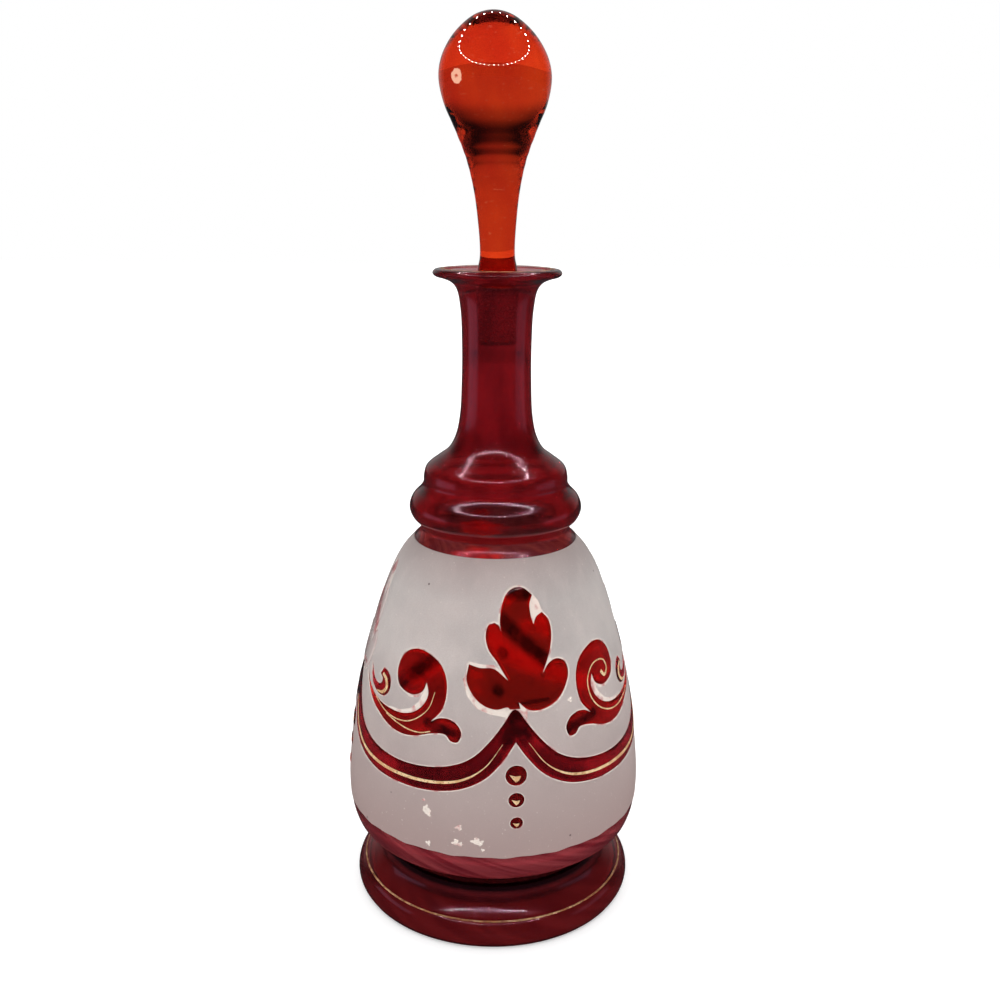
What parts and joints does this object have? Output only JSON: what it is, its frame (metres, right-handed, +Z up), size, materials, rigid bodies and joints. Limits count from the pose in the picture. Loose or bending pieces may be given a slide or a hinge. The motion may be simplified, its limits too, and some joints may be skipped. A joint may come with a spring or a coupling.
{
  "type": "stoppered decanter",
  "caption": "Footed glass decanter with a ringed shoulder, flared lip, lift-out pear stopper and a frosted frieze of leaves, scrolls and swags.",
  "frame": {"origin": "centre of the foot's resting ring, on the surface that the decanter stands on", "axes": "+Z up along the axis of the bottle; the front leaf faces -Y, turned a few degrees towards +X"},
  "size_m": [0.1054, 0.1054, 0.3],
  "materials": {
    "ruby_stained_glass": "polished blown glass with a fired ruby stain, brush streaks in the stain",
    "amber_ruby_glass": "polished solid glass, orange red with a darker crown",
    "satin_frosted_glass": "satin etched, fine matt grain",
    "stained_window_glass": "polished glass with a fired ruby stain",
    "ruby_enamel": "raised fired enamel, glossy",
    "burnished_gilding": "burnished gold, worn along its edges"
  },
  "bodies": {
    "decanter": {"foot": "ruby_stained_glass", "bottle": "ruby_stained_glass", "frosted_ground": "satin_frosted_glass", "gilt_lip_ring": "burnished_gilding", "gilt_foot_ring": "burnished_gilding", "leaf_1": "stained_window_glass", "leaf_2": "stained_window_glass", "leaf_3": "stained_window_glass", "leaf_4": "stained_window_glass", "swag_1": "ruby_enamel", "swag_2": "ruby_enamel", "swag_3": "ruby_enamel", "swag_4": "ruby_enamel", "scroll_1": "ruby_enamel", "scroll_2": "ruby_enamel", "scroll_3": "ruby_enamel", "scroll_4": "ruby_enamel", "hook_1": "ruby_enamel", "hook_2": "ruby_enamel", "hook_3": "ruby_enamel", "hook_4": "ruby_enamel", "bead_1_upper": "ruby_enamel", "bead_1_middle": "ruby_enamel", "bead_1_lower": "ruby_enamel", "bead_2_upper": "ruby_enamel", "bead_2_middle": "ruby_enamel", "bead_2_lower": "ruby_enamel", "bead_3_upper": "ruby_enamel", "bead_3_middle": "ruby_enamel", "bead_3_lower": "ruby_enamel", "bead_4_upper": "ruby_enamel", "bead_4_middle": "ruby_enamel", "bead_4_lower": "ruby_enamel", "gilt_swag_line_1": "burnished_gilding", "gilt_swag_line_2": "burnished_gilding", "gilt_swag_line_3": "burnished_gilding", "gilt_swag_line_4": "burnished_gilding", "gilt_scroll_line_1": "burnished_gilding", "gilt_scroll_line_2": "burnished_gilding", "gilt_scroll_line_3": "burnished_gilding", "gilt_scroll_line_4": "burnished_gilding"},
    "stopper": {"stopper": "amber_ruby_glass"}
  },
  "joints": [
    {"name": "stopper_lift", "type": "slide", "parent": "decanter", "child": "stopper", "axis": [0, 0, 1], "range_m": [0, 0.06]}
  ]
}
